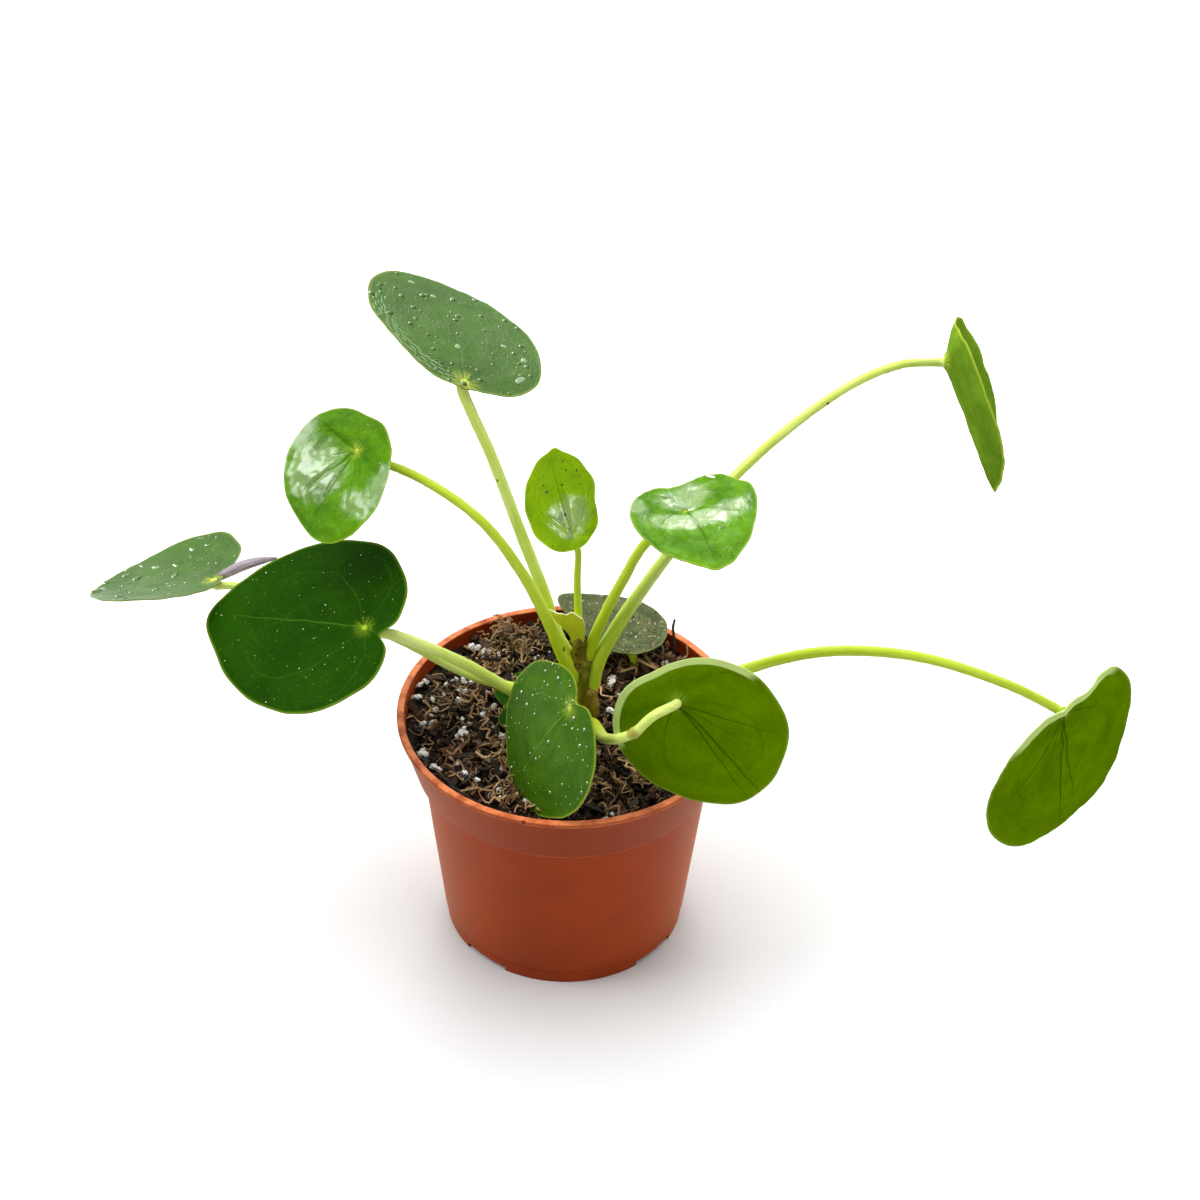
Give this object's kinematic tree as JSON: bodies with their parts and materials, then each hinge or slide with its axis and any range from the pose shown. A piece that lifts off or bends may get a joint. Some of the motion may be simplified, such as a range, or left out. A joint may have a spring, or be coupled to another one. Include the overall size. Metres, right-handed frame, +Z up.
{
  "type": "potted pilea plant",
  "caption": "House plant with round leaves on long stalks round a short trunk, standing in a tapered plastic nursery pot filled with bark soil.",
  "frame": {"origin": "middle of the pot's foot, on the surface it stands on", "axes": "+Z up, +X to the plant's right seen from its front, -Y towards its front"},
  "size_m": [0.372, 0.15, 0.226],
  "materials": {
    "pot_plastic": "satin moulded terracotta-coloured plastic",
    "soil": "damp bark and coir mix with white grains",
    "trunk": "knobbly brown-green stem",
    "stalk_pale": "smooth waxy pale green",
    "stalk_green": "smooth waxy yellow-green",
    "leaf_grey": "waxy leaf with a soft sheen",
    "leaf_gloss": "glossy wet leaf",
    "leaf_dark": "satin dark green leaf",
    "leaf_young": "glossy young leaf",
    "leaf_olive": "satin olive green leaf",
    "leaf_dusty": "dusty grey-green leaf",
    "dry_bract": "dry papery grey"
  },
  "bodies": {
    "root": {"pot": "pot_plastic", "soil": "soil", "trunk": "trunk", "stalk_high_left": "stalk_pale", "blade_high_left": "leaf_grey", "stalk_mid_left": "stalk_green", "blade_mid_left": "leaf_gloss", "stalk_front_left": "stalk_pale", "blade_front_left": "leaf_dark", "stalk_front": "stalk_green", "blade_front": "leaf_dark", "stalk_front_right": "stalk_pale", "blade_front_right": "leaf_olive", "stalk_far_right": "stalk_green", "blade_far_right": "leaf_olive", "stalk_high_right": "stalk_pale", "blade_high_right": "leaf_young", "stalk_mid_right": "stalk_green", "blade_mid_right": "leaf_gloss", "stalk_crown": "stalk_green", "blade_crown": "leaf_young", "stalk_back_low": "stalk_green", "blade_back_low": "leaf_dusty", "stalk_far_left": "stalk_pale", "blade_far_left": "leaf_grey", "stalk_low_left": "stalk_green", "blade_low_left": "leaf_dusty", "stalk_bud": "stalk_green", "blade_bud": "leaf_young", "bract": "dry_bract"}
  },
  "joints": []
}
